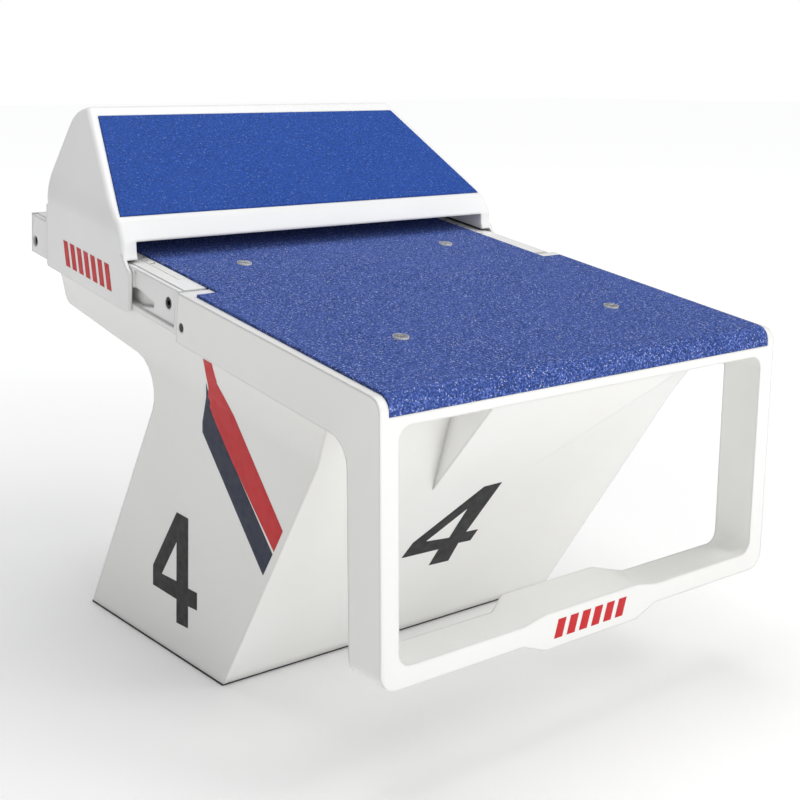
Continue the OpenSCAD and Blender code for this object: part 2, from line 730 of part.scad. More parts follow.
// ---- kick plate ----
foot_x = x_out - foot_w;
foot_n = 3;
kick_points = [
    [kick_front_s, kick_gap_n], [kick_back_s, kick_gap_n], [kick_rear_s, kick_rear_n], [ridge_s, ridge_n],
    [pad_s - 9, pad_n - 9 * tan(kick_angle)]
];
kick_inner = inset(kick_points, [-1, kick_t, kick_t, kick_face_t, kick_t]);
skirt_points = rounded([
    [skirt_s0, -rail_h - skirt_drop], [skirt_s1, -rail_h - skirt_drop],
    [kick_back_s, kick_gap_n + 0.5], [kick_front_s, kick_gap_n + 0.5],
    [kick_front_s - 3, foot_n], [skirt_s0, -8]
], [4, 4, 0, 0, 24, 8]);
clamp_s = pivot_s - clamp_arm;
clamp_x0 = scale_x0 + scale_w + 1;
clamp_x1 = clamp_x0 + 14;
plunger_x = clamp_x0 + 3;
clamp_t = 9;
bracket_n0 = kick_gap_n + 0.5;
bracket_t = 6;

// Space between the kick plate's leaning cheeks, drawn in by t
module between_cheeks(t) {
    lean = atan(taper_x / (ridge_n - taper_n));
    side_x = x_out - t;
    bend_n = taper_n - t * tan(lean / 2);
    top_n = 2 * ridge_n;
    top_x = side_x - (top_n - bend_n) * tan(lean);
    translate([0, big, 0]) rotate([90, 0, 0]) linear_extrude(big) polygon(rounded([
        [-side_x, -rail_h], [side_x, -rail_h], [side_x, bend_n], [top_x, top_n],
        [-top_x, top_n], [-side_x, bend_n]
    ], [0, 0, cheek_bend_r - t, 0, 0, cheek_bend_r - t], 8));
}
module face_frame() {
    deck_frame() translate([0, pad_s, pad_n]) rotate([kick_angle, 0, 0]) children();
}
module kick_shell() {
    color(white) difference() {
        deck_frame() difference() {
            union() {
                difference() {
                    intersection() {
                        slab(-x_out, x_out, rounded(kick_points, [0, 0, 18, 12, 10]));
                        between_cheeks(0);
                    }
                    intersection() {
                        slab(-x_out, x_out, rounded(kick_inner, [0, 0, 12, 6, 0]));
                        between_cheeks(kick_t);
                    }
                }
                both() {
                    slab(rail_x1 + skirt_gap, x_out, skirt_points);
                    intersection() {
                        slab(foot_x, x_out, skirt_points);
                        block(0, big, 0, big, foot_n, big);
                    }
                }
            }
            both() block(0, clamp_x1 + 1, clamp_s - clamp_l / 2 - 1.5, clamp_s + clamp_l / 2 + 1.5, -1,
                bracket_n0 + 1);
            both() for (s = bracket_screw_s) translate([bracket_screw_x, s, foot_n + 5])
                cylinder(r = 2 + fit, h = 30);
        }
        face_frame() translate([0, 0, -pad_t + pad_proud]) linear_extrude(pad_t + 5) polygon([
            [-pad_low_x - 0.4, -0.4], [pad_low_x + 0.4, -0.4], [pad_top_x + 0.4, pad_l + 0.4],
            [-pad_top_x - 0.4, pad_l + 0.4]
        ]);
    }
}
module kick_pad() {
    color(blue) face_frame() translate([0, 0, -pad_t + pad_proud]) linear_extrude(pad_t) polygon([
        [-pad_low_x, 0], [pad_low_x, 0], [pad_top_x, pad_l], [-pad_top_x, pad_l]
    ]);
}
shoe_l = 36;
shoe_play = 0.4;
shoe_front_s = groove_s1 + travel_front + 4;
shoe_rear_s = groove_s2 - travel_rear - 2 - shoe_l;
module slide_shoes() {
    color(dark) deck_frame() both() for (s = [shoe_front_s, shoe_rear_s])
        block(rail_x1 - groove_d + shoe_play, rail_x1 + skirt_gap, s, s + shoe_l,
            -groove_top - groove_h + shoe_play, -groove_top - shoe_play);
}
module foot_glides() {
    color(dark) deck_frame() both() {
        block(foot_x + 1, rail_x1 - 1, kick_front_s, clamp_s - clamp_l / 2 - 4, run_gap, foot_n);
        block(foot_x + 1, rail_x1 - 1, clamp_s + clamp_l / 2 + 4, skirt_s1, run_gap, foot_n);
    }
}
arm_t = 6;
arm_x = plunger_x - 11 - arm_t;
ear_x = arm_x + arm_t + 0.6;
bracket_x1 = x_out - kick_t - 3;
bracket_screw_x = foot_x + 7;
bracket_screw_s = [clamp_s - clamp_l / 2 - 9, clamp_s + clamp_l / 2 + 20];
ear_t = 6;
module clamp_brackets() {
    color(steel) deck_frame() both() difference() {
        union() {
            block(ear_x, bracket_x1, clamp_s - clamp_l / 2 - 16, clamp_s + clamp_l / 2 + 28,
                bracket_n0, bracket_n0 + bracket_t);
            slab(ear_x, ear_x + ear_t, rounded([
                [pivot_s - 14, bracket_n0], [pivot_s + 14, bracket_n0], [pivot_s + 8, pivot_n + 8],
                [pivot_s - 8, pivot_n + 8]
            ], [0, 0, 6, 6]));
        }
        translate([plunger_x, clamp_s, 0]) cylinder(r = rod_r + fit, h = big);
        rod_x(0, big, pivot_s, pivot_n, rod_r + fit);
        for (s = bracket_screw_s) translate([bracket_screw_x, s, 0]) cylinder(r = 2.3, h = big);
    }
}
module bracket_screws() {
    color(steel) deck_frame() both() for (s = bracket_screw_s) translate([bracket_screw_x, s, 0]) {
        translate([0, 0, foot_n + 6]) cylinder(r = 2, h = bracket_n0 + bracket_t - foot_n - 5);
        translate([0, 0, bracket_n0 + bracket_t]) cylinder(r = 4, h = 3);
    }
}
module pivot_pins() {
    color(steel) deck_frame() both() {
        rod_x(arm_x - 1, ear_x + ear_t + 1, pivot_s, pivot_n, rod_r);
        rod_x(arm_x - 3, arm_x - 0.6, pivot_s, pivot_n, rod_r + 2);
    }
}
lever_s = 190;
lever_n = 24.5;
lever_w = 14;
lever_t = 6;
tab_n = pivot_n - 2.5;
tab_t = 5;
lift_gap = 1;
plunger_head_t = 4;
plunger_head_n = tab_n + tab_t + lift_gap;
module release_bar() {
    color(steel) deck_frame() {
        block(-arm_x - arm_t, arm_x + arm_t, lever_s, lever_s + lever_w, lever_n, lever_n + lever_t);
        both() difference() {
            union() {
                slab(arm_x, arm_x + arm_t, rounded([
                    [lever_s, lever_n], [lever_s + lever_w + 16, lever_n], [pivot_s, pivot_n - 9],
                    [pivot_s + 9, pivot_n], [pivot_s, pivot_n + 9], [lever_s + lever_w,
                        lever_n + lever_t + 2],
                    [lever_s, lever_n + lever_t]
                ], [0, 0, 6, 6, 6, 0, 0]));
                block(arm_x + arm_t - 1, plunger_x + rod_r + 4, clamp_s - 8, clamp_s + 8, tab_n,
                    tab_n + tab_t);
            }
            rod_x(0, big, pivot_s, pivot_n, rod_r + fit);
            translate([plunger_x, clamp_s, 0]) cylinder(r = rod_r + 1, h = big);
        }
    }
}
// Clamp pad that presses on the rail, with the plunger that lifts it
module clamp_plunger() {
    color(dark) deck_frame() {
        block(clamp_x0, clamp_x1, clamp_s - clamp_l / 2, clamp_s + clamp_l / 2, run_gap, run_gap + clamp_t);
        translate([plunger_x, clamp_s, run_gap + clamp_t - 1])
            cylinder(r = rod_r, h = plunger_head_n - run_gap - clamp_t + 2);
        translate([plunger_x, clamp_s, plunger_head_n]) cylinder(r = rod_r + 3, h = plunger_head_t);
    }
}
module clamp_plunger_right() {
    clamp_plunger();
}
module clamp_plunger_left() {
    mirror([1, 0, 0]) clamp_plunger();
}
spring_turns = 5;
module clamp_spring() {
    n0 = run_gap + clamp_t;
    l = bracket_n0 - n0;
    in_r = rod_r + 0.8;
    wave = [for (i = [0:spring_turns * 2]) [in_r + 1.4 + 0.6 * (i % 2), l * i / spring_turns / 2]];
    color(alloy) deck_frame() translate([plunger_x, clamp_s, n0])
        rotate_extrude() polygon(concat([[in_r, 0]], wave, [[in_r, l]]));
}
module clamp_spring_right() {
    clamp_spring();
}
module clamp_spring_left() {
    mirror([1, 0, 0]) clamp_spring();
}

ground_plate();
foot_seal();
pedestal_shell();
frame_posts();
head_bars();
deck_crossmembers();
frame_bolts();
foot_bolts();
hatch_cover();
hatch_seal();
hatch_screws();
platform_shell();
shoulder_screws();
tread_board();
tread_washers();
tread_screws();
tread_nuts();
rail_left();
rail_right();
rail_end_caps();
rail_screws();
rail_nuts();
position_scales();
kick_shell();
kick_pad();
slide_shoes();
foot_glides();
clamp_brackets();
bracket_screws();
pivot_pins();
release_bar();
clamp_plunger_left();
clamp_plunger_right();
clamp_spring_left();
clamp_spring_right();
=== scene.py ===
"""Finishes, markings and studio for a sloped swimming starting block with a sliding kick plate."""

import json
import math

import bmesh
import bpy
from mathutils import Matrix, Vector
from mathutils.bvhtree import BVHTree
from mathutils.geometry import tessellate_polygon

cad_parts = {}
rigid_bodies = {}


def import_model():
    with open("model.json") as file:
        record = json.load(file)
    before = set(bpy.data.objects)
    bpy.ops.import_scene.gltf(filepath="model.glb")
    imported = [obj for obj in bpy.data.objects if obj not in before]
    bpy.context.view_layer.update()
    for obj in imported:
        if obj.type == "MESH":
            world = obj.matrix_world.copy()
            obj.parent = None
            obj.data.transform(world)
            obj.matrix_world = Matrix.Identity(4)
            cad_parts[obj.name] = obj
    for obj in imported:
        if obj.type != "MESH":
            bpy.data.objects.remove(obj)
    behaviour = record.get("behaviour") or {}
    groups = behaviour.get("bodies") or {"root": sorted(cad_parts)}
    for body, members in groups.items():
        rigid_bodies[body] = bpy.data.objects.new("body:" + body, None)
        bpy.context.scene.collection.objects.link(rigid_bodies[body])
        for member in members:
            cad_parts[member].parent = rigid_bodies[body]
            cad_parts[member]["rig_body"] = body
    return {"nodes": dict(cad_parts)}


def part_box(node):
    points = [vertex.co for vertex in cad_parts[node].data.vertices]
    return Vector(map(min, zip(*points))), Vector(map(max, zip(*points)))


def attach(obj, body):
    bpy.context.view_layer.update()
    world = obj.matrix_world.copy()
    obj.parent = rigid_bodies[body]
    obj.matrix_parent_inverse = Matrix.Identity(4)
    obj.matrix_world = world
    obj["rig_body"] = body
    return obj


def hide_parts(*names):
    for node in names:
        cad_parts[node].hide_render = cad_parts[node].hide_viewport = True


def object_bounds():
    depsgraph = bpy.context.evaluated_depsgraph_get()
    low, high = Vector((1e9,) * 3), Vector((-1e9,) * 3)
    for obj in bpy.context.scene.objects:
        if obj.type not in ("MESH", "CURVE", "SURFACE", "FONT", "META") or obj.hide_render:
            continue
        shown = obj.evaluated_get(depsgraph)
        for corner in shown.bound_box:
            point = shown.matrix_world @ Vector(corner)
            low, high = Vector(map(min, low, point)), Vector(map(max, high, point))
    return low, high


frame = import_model()
CAD_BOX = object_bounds()

bl_info = {
    "name": "Starting block finishes",
    "version": (1, 0, 0),
    "blender": (4, 5, 0),
    "location": "View3D > Sidebar > Starting block",
    "description": "Dresses a starting block in gelcoat, grit, steel and lane markings",
    "category": "Object",
}

MM = 0.001

# Two points nearer than this are one point.
SAME_POINT = 0.002 * MM
# Facets that turn by less than this are one flat face, and edges past EDGE_ANGLE get rounded.
FLAT_ANGLE = math.radians(0.6)
EDGE_ANGLE = math.radians(28)
# Radius that the shading gives the mouldings' edges, over what the mesh holds.
SHADED_EDGE = 4.5 * MM

# Brightness of the air around the block. Each lamp is a name, a place, a size in metres,
# a power in watts and a colour, and faces LAMP_TARGET.
AIR_STRENGTH = 0.29
LAMP_TARGET = (0, -0.1, 0.35)
LAMPS = (
    ("key_softbox", (2.3, -3.0, 3.3), 2.6, 58, (1.0, 0.99, 0.97)),
    ("front_softbox", (-0.4, -4.2, 1.2), 2.2, 40, (0.97, 0.98, 1.0)),
    ("top_softbox", (0.1, 0.2, 3.6), 2.6, 58, (1.0, 1.0, 1.0)),
)
FLOOR_REACH = 30

# The camera looks down by CAMERA_DIP and is turned by CAMERA_TURN from straight along +Y.
CAMERA_PLACE = (-0.9918, -1.4253, 0.6782)
CAMERA_DIP = 13.32
CAMERA_TURN = -38.36
CAMERA_LENS = 61.65
CAMERA_SENSOR = 36

# The deck slopes up from the front edge of the base.
DECK_TILT = math.radians(8.5)
DECK_HEIGHT = 0.45
BASE_FRONT = 0.165


def linear(red, green, blue):
    """An 8-bit paint-chart colour as the linear colour that a shader takes."""
    return tuple(c / 12.92 if c <= 0.04045 else ((c + 0.055) / 1.055) ** 2.4
                 for c in (red / 255, green / 255, blue / 255))


def on_deck(x, along, up):
    """A point given in millimetres along and above the sloping deck."""
    y = along * math.cos(DECK_TILT) - up * math.sin(DECK_TILT)
    z = along * math.sin(DECK_TILT) + up * math.cos(DECK_TILT)
    return Vector((x * MM, y * MM - BASE_FRONT, z * MM + DECK_HEIGHT))


def node_of(name):
    return frame["nodes"][name]


# --- shader building -------------------------------------------------------------------------
# Noise and cell scales are features to the metre, and depths and radii are in metres.

class Finish:
    """A material under construction, with short calls for the nodes that these finishes share."""

    def __init__(self, name, colour, roughness):
        self.material = bpy.data.materials.new(name)
        self.material.use_nodes = True
        self.material.diffuse_color = (*colour, 1)
        self.tree = self.material.node_tree
        self.shader = self.tree.nodes["Principled BSDF"]
        self.shader.inputs["Base Color"].default_value = (*colour, 1)
        self.shader.inputs["Roughness"].default_value = roughness
        self.place = self.tree.nodes.new("ShaderNodeTexCoord").outputs["Object"]

    def link(self, source, socket):
        self.tree.links.new(source, socket)

    def stretched(self, scale):
        mapping = self.tree.nodes.new("ShaderNodeMapping")
        mapping.inputs["Scale"].default_value = scale
        self.link(self.place, mapping.inputs["Vector"])
        return mapping.outputs["Vector"]

    def noise(self, scale, detail=3.0, roughness=0.5, place=None):
        node = self.tree.nodes.new("ShaderNodeTexNoise")
        node.inputs["Scale"].default_value = scale
        node.inputs["Detail"].default_value = detail
        node.inputs["Roughness"].default_value = roughness
        self.link(place or self.place, node.inputs["Vector"])
        return node.outputs["Fac"]

    def cells(self, scale, output="Distance"):
        node = self.tree.nodes.new("ShaderNodeTexVoronoi")
        node.inputs["Scale"].default_value = scale
        self.link(self.place, node.inputs["Vector"])
        return node.outputs[output]

    def corner_shade(self, reach):
        # Ambient occlusion, which the finishes turn into painted shade in corners and creases.
        node = self.tree.nodes.new("ShaderNodeAmbientOcclusion")
        node.samples = 6
        node.inputs["Distance"].default_value = reach
        return node.outputs["AO"]

    def spread(self, source, low, high, to_low=0.0, to_high=1.0):
        node = self.tree.nodes.new("ShaderNodeMapRange")
        node.clamp = True
        for socket, value in (("From Min", low), ("From Max", high),
                              ("To Min", to_low), ("To Max", to_high)):
            node.inputs[socket].default_value = value
        self.link(source, node.inputs["Value"])
        return node.outputs["Result"]

    def blend(self, share, first, second):
        node = self.tree.nodes.new("ShaderNodeMix")
        node.data_type = "RGBA"
        self.link(share, node.inputs["Factor"])
        for value, socket in ((first, node.inputs["A"]), (second, node.inputs["B"])):
            if isinstance(value, tuple):
                socket.default_value = (*value, 1)
            else:
                self.link(value, socket)
        return node.outputs["Result"]

    def colour(self, source):
        self.link(source, self.shader.inputs["Base Color"])

    def roughness(self, source, low, high):
        self.link(self.spread(source, 0.3, 0.7, low, high), self.shader.inputs["Roughness"])

    def bumps(self, *layers, edge=0.0):
        """Stacks height layers, each (source, strength, depth in metres), over edges eased by edge."""
        last = None
        if edge:
            eased = self.tree.nodes.new("ShaderNodeBevel")
            eased.samples = 6
            eased.inputs["Radius"].default_value = edge
            last = eased.outputs["Normal"]
        for source, strength, depth in layers:
            node = self.tree.nodes.new("ShaderNodeBump")
            node.inputs["Strength"].default_value = strength
            node.inputs["Distance"].default_value = depth
            self.link(source, node.inputs["Height"])
            if last:
                self.link(last, node.inputs["Normal"])
            last = node.outputs["Normal"]
        self.link(last, self.shader.inputs["Normal"])


def shade(colour, factor):
    """The colour made darker or lighter."""
    return tuple(min(1.0, c * factor) for c in colour)


def gelcoat(colour):
    """Glass-fibre moulding: slow waves, orange peel, faint yellowing and painted shade in the corners."""
    f = Finish("white_gelcoat", colour, 0.34)
    clouds = f.spread(f.noise(4.5, 4), 0.35, 0.7)
    tone = f.blend(clouds, colour, (colour[0] * 0.97, colour[1] * 0.965, colour[2] * 0.945))
    # Painted shade: ambient occlusion darkens the colour in corners and creases.
    painted_shade = f.spread(f.corner_shade(0.014), 0.35, 0.9, 0.5, 0.0)
    f.colour(f.blend(painted_shade, tone, (0.46, 0.45, 0.42)))
    scuffs = f.noise(38, 6, 0.65, f.stretched((1, 5, 1)))
    f.roughness(scuffs, 0.28, 0.46)
    f.bumps((f.noise(9, 2), 0.12, 0.0022), (f.noise(420, 2), 0.10, 0.00018),
            (scuffs, 0.04, 0.0003), edge=SHADED_EDGE)
    f.shader.inputs["Coat Weight"].default_value = 0.25
    f.shader.inputs["Coat Roughness"].default_value = 0.12
    f.shader.inputs["Specular IOR Level"].default_value = 0.45
    return f.material


def moulding(colour):
    """Thick plastic moulding: a finer satin grain than the gelcoat, and painted shade in the corners."""
    f = Finish("white_moulding", colour, 0.4)
    clouds = f.spread(f.noise(7, 3), 0.35, 0.7)
    tone = f.blend(clouds, colour, shade(colour, 0.965))
    # Painted shade: ambient occlusion darkens the colour in corners and creases.
    painted_shade = f.spread(f.corner_shade(0.012), 0.35, 0.9, 0.5, 0.0)
    f.colour(f.blend(painted_shade, tone, (0.44, 0.43, 0.41)))
    f.roughness(f.noise(60, 5, 0.6), 0.34, 0.5)
    f.bumps((f.noise(14, 2), 0.10, 0.0015), (f.noise(900, 2), 0.14, 0.00012), edge=SHADED_EDGE)
    f.shader.inputs["Coat Weight"].default_value = 0.12
    f.shader.inputs["Coat Roughness"].default_value = 0.2
    return f.material


def grit(colour):
    """Blue coating with sand set in it: painted shade in the low pits, mid grains, a painted highlight on
    the raised grains and pale bare flecks.
    """
    f = Finish("blue_grip", colour, 0.85)
    grains = f.noise(430, 4, 0.7)
    # Painted shade and highlight: the grain noise that raises the bumps also darkens the low pits and
    # lightens the raised grains.
    pit_shade = f.spread(grains, 0.34, 0.5)
    body = f.blend(pit_shade, shade(colour, 0.3), colour)
    lit = f.spread(grains, 0.52, 0.64)
    body = f.blend(lit, body, tuple(c * 1.9 + 0.1 for c in colour))
    fleck_size = f.spread(f.cells(360), 0.08, 0.36, 1.0, 0.0)
    fleck_patch = f.spread(f.noise(260, 2), 0.47, 0.55)
    fleck = f.tree.nodes.new("ShaderNodeMath")
    fleck.operation = "MULTIPLY"
    f.link(fleck_size, fleck.inputs[0])
    f.link(fleck_patch, fleck.inputs[1])
    body = f.blend(fleck.outputs[0], body, linear(206, 214, 240))
    worn = f.spread(f.noise(11, 4), 0.42, 0.75, 0.0, 0.3)
    f.colour(f.blend(worn, body, tuple(c * 1.25 + 0.02 for c in colour)))
    f.roughness(grains, 0.78, 0.95)
    f.bumps((f.noise(300, 4, 0.7), 0.5, 0.0007), (grains, 0.65, 0.0006))
    f.shader.inputs["Specular IOR Level"].default_value = 0.3
    return f.material


def pad_grit(colour):
    """The same blue coating rolled thinner and finer over the foot pad, with painted shade in its low grain
    and a painted highlight on the raised grain.
    """
    f = Finish("blue_pad", colour, 0.75)
    grains = f.noise(430, 4, 0.68)
    # Painted shade and highlight: the grain noise that raises the bumps also darkens the low grain and
    # brightens the raised grain.
    bright = tuple(c * 1.35 + 0.012 for c in colour)
    body = f.blend(f.spread(grains, 0.36, 0.6), shade(colour, 0.62), bright)
    flecks = f.spread(f.noise(380, 2), 0.6, 0.72, 0.0, 0.5)
    body = f.blend(flecks, body, linear(120, 146, 205))
    worn = f.spread(f.noise(16, 4), 0.45, 0.75, 0.0, 0.22)
    f.colour(f.blend(worn, body, tuple(c * 1.2 + 0.015 for c in colour)))
    f.roughness(grains, 0.6, 0.8)
    f.bumps((f.noise(420, 3, 0.6), 0.4, 0.0005), (grains, 0.5, 0.0004))
    f.shader.inputs["Specular IOR Level"].default_value = 0.2
    return f.material


def zinc(colour):
    """Hot-dip galvanising: spangled crystals, grey bloom and rough patches."""
    f = Finish("galvanised_steel", colour, 0.45)
    spangle = f.cells(90, "Color")
    level = f.spread(spangle, 0.0, 1.0, 0.2, 0.8)
    tone = f.blend(level, shade(colour, 0.78), shade(colour, 1.12))
    bloom = f.spread(f.noise(20, 5, 0.6), 0.45, 0.7, 0.0, 0.5)
    f.colour(f.blend(bloom, tone, (0.52, 0.53, 0.53)))
    f.roughness(f.noise(35, 4), 0.36, 0.62)
    f.bumps((f.noise(60, 4), 0.2, 0.0006), (f.noise(500, 2), 0.15, 0.0002))
    f.shader.inputs["Metallic"].default_value = 0.85
    return f.material


def brushed(name, colour, roughness, along):
    """Bright metal with fine drawn lines along its length."""
    f = Finish(name, colour, roughness)
    lines = f.noise(140, 5, 0.6, f.stretched(along))
    f.colour(f.blend(f.spread(lines, 0.3, 0.7), shade(colour, 0.86), shade(colour, 1.06)))
    f.roughness(lines, roughness - 0.07, roughness + 0.12)
    f.bumps((lines, 0.18, 0.00012), (f.noise(30, 3), 0.06, 0.0004))
    f.shader.inputs["Metallic"].default_value = 1.0
    return f.material


def rubber(colour):
    """Dusty black sealing rubber."""
    f = Finish("seal_rubber", colour, 0.7)
    dust = f.spread(f.noise(70, 5, 0.6), 0.45, 0.7, 0.0, 0.35)
    f.colour(f.blend(dust, colour, shade(colour, 2.4)))
    f.roughness(f.noise(120, 4), 0.6, 0.85)
    f.bumps((f.noise(700, 3), 0.25, 0.0002), (f.noise(40, 3), 0.08, 0.0006))
    return f.material


def sliding_plastic(colour):
    """Dark plastic of the shoes and glides, rubbed along the way they slide."""
    f = Finish("dark_plastic", colour, 0.5)
    rubs = f.spread(f.noise(90, 5, 0.6, f.stretched((1, 0.15, 1))), 0.5, 0.72, 0.0, 0.4)
    f.colour(f.blend(rubs, colour, shade(colour, 2.2)))
    f.roughness(f.noise(80, 4), 0.42, 0.65)
    f.bumps((f.noise(900, 2), 0.2, 0.00012), (rubs, 0.1, 0.0002))
    return f.material


def strip_vinyl(name, colour, roughness=0.42):
    """Printed or cut vinyl: slight ink mottle, faint rubs and a soft sheen."""
    f = Finish(name, colour, roughness)
    mottle = f.spread(f.noise(55, 5, 0.6), 0.35, 0.7)
    f.colour(f.blend(mottle, shade(colour, 0.93), shade(colour, 1.05)))
    f.roughness(f.noise(90, 4), roughness - 0.08, roughness + 0.1)
    f.bumps((f.noise(700, 2), 0.12, 0.0001), (f.noise(20, 2), 0.05, 0.0005))
    f.shader.inputs["Specular IOR Level"].default_value = 0.35
    return f.material


def glowing_floor(colour):
    """White paper floor that glows more the farther it lies from the block, a painted light so that it fades
    into the air.
    """
    f = Finish("studio_floor", colour, 0.9)
    f.colour(f.blend(f.spread(f.noise(3, 3), 0.3, 0.7), shade(colour, 0.995), colour))
    # Painted light: the floor glows by its distance from the middle, faintly beside the block and strongly
    # far off.
    reach = f.tree.nodes.new("ShaderNodeVectorMath")
    reach.operation = "LENGTH"
    f.link(f.place, reach.inputs[0])
    f.shader.inputs["Emission Color"].default_value = (1, 1, 1, 1)
    f.link(f.spread(reach.outputs["Value"], 0.5, 3.2, 0.08, 0.7), f.shader.inputs["Emission Strength"])
    f.shader.inputs["Specular IOR Level"].default_value = 0.1
    f.roughness(f.noise(40, 3), 0.85, 0.95)
    f.bumps((f.noise(200, 2), 0.02, 0.0001))
    return f.material


# --- sizes and colours -----------------------------------------------------------------------

class BlockSizes(bpy.types.PropertyGroup):
    """Edge radii and film sizes, in metres."""

    shell_edge: bpy.props.FloatProperty(
        name="Shell edge", description="Radius along the edges of the pedestal moulding",
        default=3.5 * MM, min=0.0, max=0.02, unit="LENGTH")
    platform_edge: bpy.props.FloatProperty(
        name="Platform edge", description="Radius along the edges of the platform and grab frame",
        default=3.0 * MM, min=0.0, max=0.02, unit="LENGTH")
    kick_edge: bpy.props.FloatProperty(
        name="Kick plate edge", description="Radius along the edges of the kick plate moulding",
        default=5.5 * MM, min=0.0, max=0.02, unit="LENGTH")
    board_edge: bpy.props.FloatProperty(
        name="Board edge", description="Radius round the gritted tread board",
        default=2.0 * MM, min=0.0, max=0.02, unit="LENGTH")
    metal_edge: bpy.props.FloatProperty(
        name="Metal edge", description="Broken edge on plates, bars and fixings",
        default=0.4 * MM, min=0.0, max=0.005, unit="LENGTH")
    film: bpy.props.FloatProperty(
        name="Film", description="Thickness of the cut vinyl markings",
        default=0.22 * MM, min=0.05 * MM, max=0.002, unit="LENGTH")


class BlockColours(bpy.types.PropertyGroup):
    """Colours of the finishes."""

    shell: bpy.props.FloatVectorProperty(
        name="Shell", description="Gelcoat of the pedestal and platform",
        subtype="COLOR", size=3, min=0, max=1, default=linear(246, 246, 244))
    kick: bpy.props.FloatVectorProperty(
        name="Kick plate", description="Moulding of the kick plate and rails",
        subtype="COLOR", size=3, min=0, max=1, default=linear(245, 245, 244))
    tread: bpy.props.FloatVectorProperty(
        name="Tread", description="Grit coating of the tread board",
        subtype="COLOR", size=3, min=0, max=1, default=linear(52, 78, 150))
    pad: bpy.props.FloatVectorProperty(
        name="Foot pad", description="Coating of the foot pad",
        subtype="COLOR", size=3, min=0, max=1, default=linear(22, 68, 150))
    red: bpy.props.FloatVectorProperty(
        name="Red film", description="Cut film of the red stripes and bars",
        subtype="COLOR", size=3, min=0, max=1, default=linear(206, 24, 32))
    navy: bpy.props.FloatVectorProperty(
        name="Navy film", description="Cut film of the dark stripes",
        subtype="COLOR", size=3, min=0, max=1, default=linear(16, 26, 58))
    numeral: bpy.props.FloatVectorProperty(
        name="Numerals", description="Cut film of the lane numbers",
        subtype="COLOR", size=3, min=0, max=1, default=linear(24, 23, 26))


FINISHES = {}


def finish_named(name):
    """Each finish is mixed once, from the colours in the sidebar."""
    if name not in FINISHES:
        c = bpy.context.scene.start_block_colours
        mixers = {
            "white_gelcoat": lambda: gelcoat(tuple(c.shell)),
            "white_moulding": lambda: moulding(tuple(c.kick)),
            "blue_grip": lambda: grit(tuple(c.tread)),
            "blue_pad": lambda: pad_grit(tuple(c.pad)),
            "galvanised_steel": lambda: zinc((0.55, 0.56, 0.57)),
            "stainless": lambda: brushed("stainless", (0.68, 0.69, 0.7), 0.26, (1, 1, 0.08)),
            "black_oxide": lambda: brushed("black_oxide", (0.05, 0.05, 0.052), 0.42, (1, 1, 1)),
            "spring_steel": lambda: brushed("spring_steel", (0.6, 0.6, 0.62), 0.3, (1, 1, 0.3)),
            "alloy": lambda: brushed("alloy", (0.78, 0.79, 0.8), 0.34, (1, 0.06, 1)),
            "seal_rubber": lambda: rubber((0.02, 0.02, 0.022)),
            "dark_plastic": lambda: sliding_plastic((0.03, 0.03, 0.033)),
            "printed_strip": lambda: strip_vinyl("printed_strip", linear(236, 236, 232)),
            "red_film": lambda: strip_vinyl("red_film", tuple(c.red)),
            "navy_film": lambda: strip_vinyl("navy_film", tuple(c.navy)),
            "numeral_film": lambda: strip_vinyl("numeral_film", tuple(c.numeral), 0.5),
        }
        FINISHES[name] = mixers[name]()
    return FINISHES[name]


# --- mesh helpers ----------------------------------------------------------------------------

def clear_normals(mesh):
    """Lets the shading follow the softened edges instead of the stored normals."""
    stored = mesh.attributes.get("custom_normal")
    if stored:
        mesh.attributes.remove(stored)
    mesh.shade_smooth()


def soften(piece, radius, segments=3):
    """Joins the facets into whole faces and rounds the edges that are left."""
    clear_normals(piece.data)
    weld = piece.modifiers.new("Weld", "WELD")
    weld.merge_threshold = SAME_POINT
    faces = piece.modifiers.new("Whole faces", "DECIMATE")
    faces.decimate_type = "DISSOLVE"
    faces.angle_limit = FLAT_ANGLE
    bevel = piece.modifiers.new("Rounded edges", "BEVEL")
    bevel.width = radius
    bevel.segments = segments
    bevel.limit_method = "ANGLE"
    bevel.angle_limit = EDGE_ANGLE
    bevel.use_clamp_overlap = True
    bevel.miter_outer = "MITER_ARC"
    shading = piece.modifiers.new("Even shading", "WEIGHTED_NORMAL")
    shading.keep_sharp = True
    shading.weight = 60


def dress(node, finish, radius, segments=3):
    """Gives a carried-over part its finish and softened edges."""
    piece = node_of(node)
    piece.data.materials.clear()
    piece.data.materials.append(finish_named(finish))
    soften(piece, radius, segments)
    return piece


